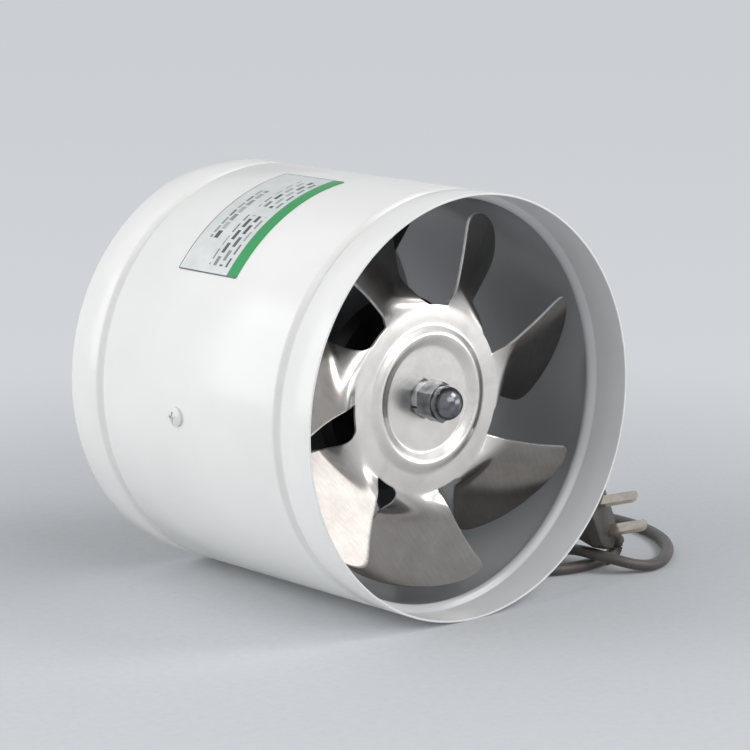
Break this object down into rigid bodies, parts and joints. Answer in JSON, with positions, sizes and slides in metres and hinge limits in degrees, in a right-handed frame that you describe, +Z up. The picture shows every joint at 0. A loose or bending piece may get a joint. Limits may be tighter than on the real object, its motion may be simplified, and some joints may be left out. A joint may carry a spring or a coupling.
{
  "type": "inline duct fan",
  "caption": "Inline duct fan in a beaded cylindrical sheet casing, with a stamped axial impeller on a bracketed motor and a mains cord ending in a flat-pin plug.",
  "frame": {"origin": "on the floor, below the middle of the casing, where the lying casing touches it", "axes": "+Z up, fan axis along Y with the impeller mouth at -Y and the motor's rear towards +Y, cord side at +X"},
  "size_m": [0.2168, 0.1689, 0.15],
  "materials": {
    "casing_paint": "white gloss powder coat",
    "motor_paint": "black semi-gloss paint",
    "screw_white": "white painted screw head",
    "zinc": "zinc plate",
    "label": "satin silver film with a green band",
    "lamination": "stacked steel laminations",
    "bobbin_plastic": "moulded nylon",
    "copper_winding": "enamelled copper wire",
    "bronze": "sintered bronze",
    "rubber": "black rubber",
    "cord_pvc": "warm grey PVC",
    "shaft_steel": "ground steel",
    "cast_aluminium": "die-cast aluminium",
    "impeller_steel": "bright stamped stainless sheet",
    "nut_plate": "bright nickel plate",
    "tie_plastic": "black tie strip",
    "pin_nickel": "nickel-plated brass"
  },
  "bodies": {
    "fan_body": {"duct_casing": "casing_paint", "motor_bracket": "motor_paint", "bracket_screws": "screw_white", "bracket_nuts": "zinc", "rating_label": "label", "motor_can": "motor_paint", "motor_rear_cover": "motor_paint", "motor_bolts": "zinc", "motor_nuts": "zinc", "stator_core": "lamination", "coil_bobbins": "bobbin_plastic", "stator_coils": "copper_winding", "front_bush": "bronze", "rear_bush": "bronze", "bush_clips": "zinc", "lead_gland": "rubber", "motor_lead": "cord_pvc", "casing_grommet": "rubber", "cord_lead": "cord_pvc", "cord_coil": "cord_pvc", "cord_run": "cord_pvc", "cord_tie": "tie_plastic", "plug_body": "cord_pvc", "plug_pins": "pin_nickel"},
    "spinner": {"shaft": "shaft_steel", "rotor_core": "lamination", "rotor_end_rings": "cast_aluminium", "thrust_washers": "bobbin_plastic", "drive_collar": "zinc", "collar_set_screw": "zinc", "rear_washer": "zinc", "impeller": "impeller_steel", "spring_washer": "zinc", "cap_nut": "nut_plate"}
  },
  "joints": [
    {"name": "impeller_spin", "type": "hinge", "parent": "fan_body", "child": "spinner", "pos_m": [0, 0, 0.075], "axis": [0, -1, 0], "continuous": true}
  ]
}
